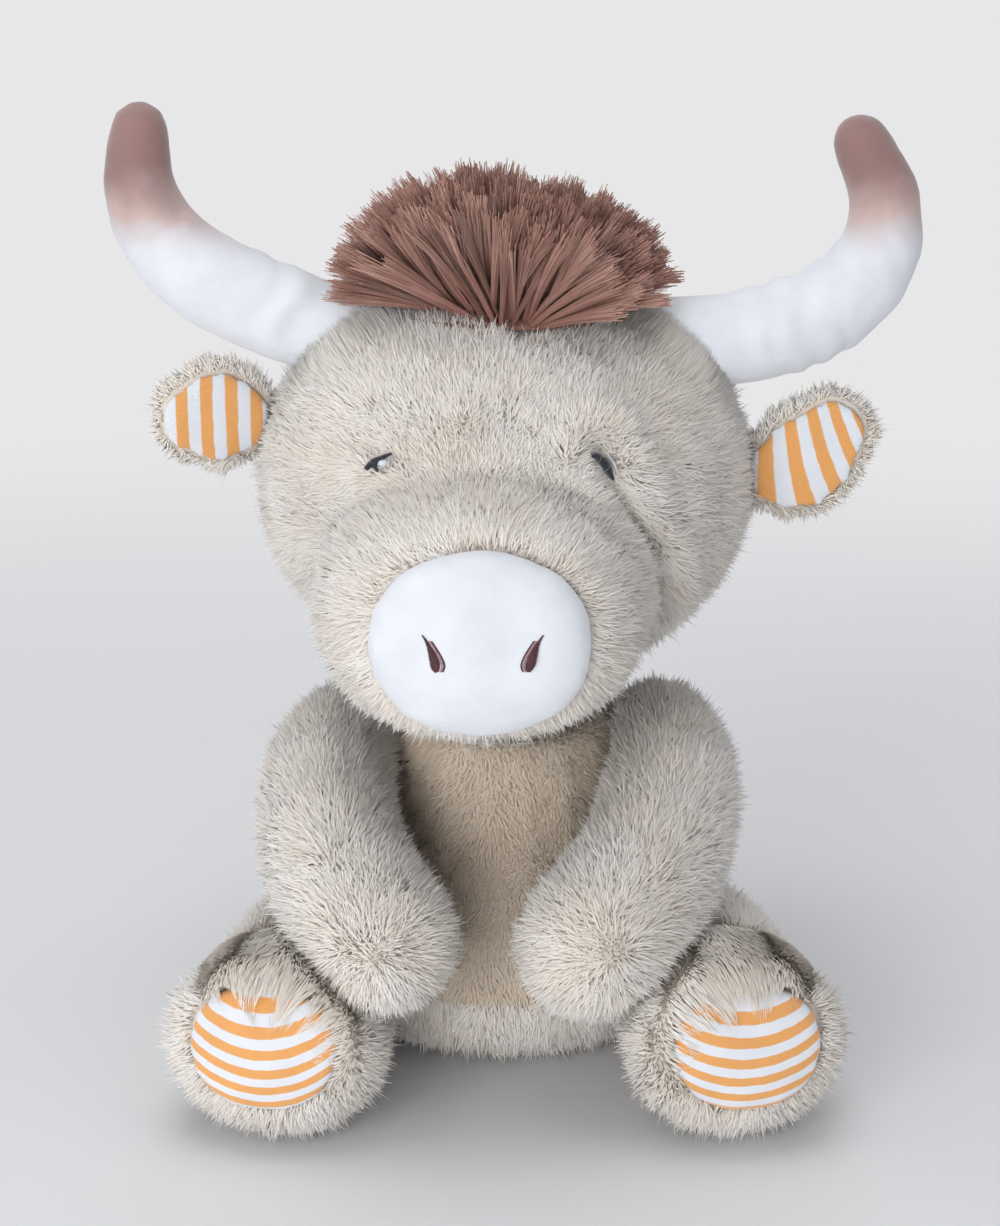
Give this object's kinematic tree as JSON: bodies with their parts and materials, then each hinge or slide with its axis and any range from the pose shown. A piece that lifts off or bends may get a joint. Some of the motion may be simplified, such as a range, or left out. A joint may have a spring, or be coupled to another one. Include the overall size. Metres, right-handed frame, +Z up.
{
  "type": "plush cow",
  "caption": "Seated plush cow with long curved horns, striped ears and soles, a shaggy forelock and soft limbs that flop at their seams.",
  "frame": {"origin": "middle of the flat seat, on the surface the toy sits on", "axes": "+Z up, the toy faces -Y, and +X is the toy's own left"},
  "size_m": [0.2621, 0.2464, 0.3011],
  "materials": {
    "beige_plush": "long beige pile",
    "tan_plush": "tan pile",
    "white_velour": "short white velour",
    "striped_velour": "orange and white stripes on short velour",
    "brown_pile": "long brown pile",
    "dark_thread": "dark satin stitch",
    "burgundy_thread": "burgundy satin stitch",
    "stuffing": "polyester fibre",
    "cotton_liner": "plain cotton"
  },
  "bodies": {
    "torso": {"seat_panel": "beige_plush", "tummy_panel": "tan_plush", "back_left_panel": "beige_plush", "back_right_panel": "beige_plush", "torso_filling": "stuffing", "pellet_bag": "cotton_liner"},
    "neck": {"neck_cover": "beige_plush", "neck_filling": "stuffing"},
    "head": {"head_left_cover": "beige_plush", "head_right_cover": "beige_plush", "head_back_cover": "beige_plush", "head_filling": "stuffing", "muzzle_disc": "white_velour", "muzzle_filling": "stuffing", "nostril_left": "burgundy_thread", "nostril_right": "burgundy_thread", "eye_left": "dark_thread", "eye_right": "dark_thread", "hair_tuft": "brown_pile", "tuft_backing": "brown_pile"},
    "horn_left": {"horn_left_cover": "white_velour", "horn_left_filling": "stuffing"},
    "horn_right": {"horn_right_cover": "white_velour", "horn_right_filling": "stuffing"},
    "ear_left": {"ear_left_back": "beige_plush", "ear_left_lining": "striped_velour"},
    "ear_right": {"ear_right_back": "beige_plush", "ear_right_lining": "striped_velour"},
    "arm_left": {"arm_left_cover": "beige_plush", "arm_left_filling": "stuffing"},
    "arm_right": {"arm_right_cover": "beige_plush", "arm_right_filling": "stuffing"},
    "leg_left": {"leg_left_cover": "beige_plush", "leg_left_filling": "stuffing", "sole_left": "striped_velour"},
    "leg_right": {"leg_right_cover": "beige_plush", "leg_right_filling": "stuffing", "sole_right": "striped_velour"},
    "tail": {"tail": "beige_plush", "tail_tuft": "brown_pile"}
  },
  "joints": [
    {"name": "head_turn", "type": "hinge", "parent": "torso", "child": "neck", "pos_m": [0, 0, 0.1005], "axis": [0, 0, 1], "range_deg": [-25, 25], "stiffness_Nm_per_rad": 0.3},
    {"name": "head_nod", "type": "hinge", "parent": "neck", "child": "head", "pos_m": [0, 0, 0.09], "axis": [1, 0, 0], "range_deg": [-8, 6], "stiffness_Nm_per_rad": 0.8},
    {"name": "horn_left_swing", "type": "hinge", "parent": "head", "child": "horn_left", "pos_m": [0.05667, -0.00626, 0.22461], "axis": [0.6394, -0.0736, 0.7654], "range_deg": [-10, 10], "stiffness_Nm_per_rad": 0.08},
    {"name": "horn_right_swing", "type": "hinge", "parent": "head", "child": "horn_right", "pos_m": [-0.05156, -0.00625, 0.22767], "axis": [-0.5425, -0.0699, 0.8371], "range_deg": [-10, 10], "stiffness_Nm_per_rad": 0.08},
    {"name": "ear_left_flop", "type": "hinge", "parent": "head", "child": "ear_left", "pos_m": [0.08214, -0.00413, 0.18178], "axis": [-0.1024, 0.0253, 0.9944], "range_deg": [-15, 15], "stiffness_Nm_per_rad": 0.01},
    {"name": "ear_right_flop", "type": "hinge", "parent": "head", "child": "ear_right", "pos_m": [-0.07936, -0.00413, 0.19842], "axis": [0.2673, 0.0693, 0.9611], "range_deg": [-15, 15], "stiffness_Nm_per_rad": 0.01},
    {"name": "arm_left_raise", "type": "hinge", "parent": "torso", "child": "arm_left", "pos_m": [0.051, -0.014, 0.0915], "axis": [-1, 0, 0], "range_deg": [0, 12], "stiffness_Nm_per_rad": 0.08},
    {"name": "arm_right_raise", "type": "hinge", "parent": "torso", "child": "arm_right", "pos_m": [-0.051, -0.014, 0.0915], "axis": [-1, 0, 0], "range_deg": [0, 12], "stiffness_Nm_per_rad": 0.08},
    {"name": "leg_left_spread", "type": "hinge", "parent": "torso", "child": "leg_left", "pos_m": [0.0595, -0.048, 0.0275], "axis": [0, 0, 1], "range_deg": [0, 20], "stiffness_Nm_per_rad": 0.1},
    {"name": "leg_right_spread", "type": "hinge", "parent": "torso", "child": "leg_right", "pos_m": [-0.0595, -0.048, 0.0275], "axis": [0, 0, -1], "range_deg": [0, 20], "stiffness_Nm_per_rad": 0.1},
    {"name": "tail_swing", "type": "hinge", "parent": "torso", "child": "tail", "pos_m": [0, 0.06969, 0.024], "axis": [0, 0, 1], "range_deg": [-25, 25], "stiffness_Nm_per_rad": 0.01}
  ]
}
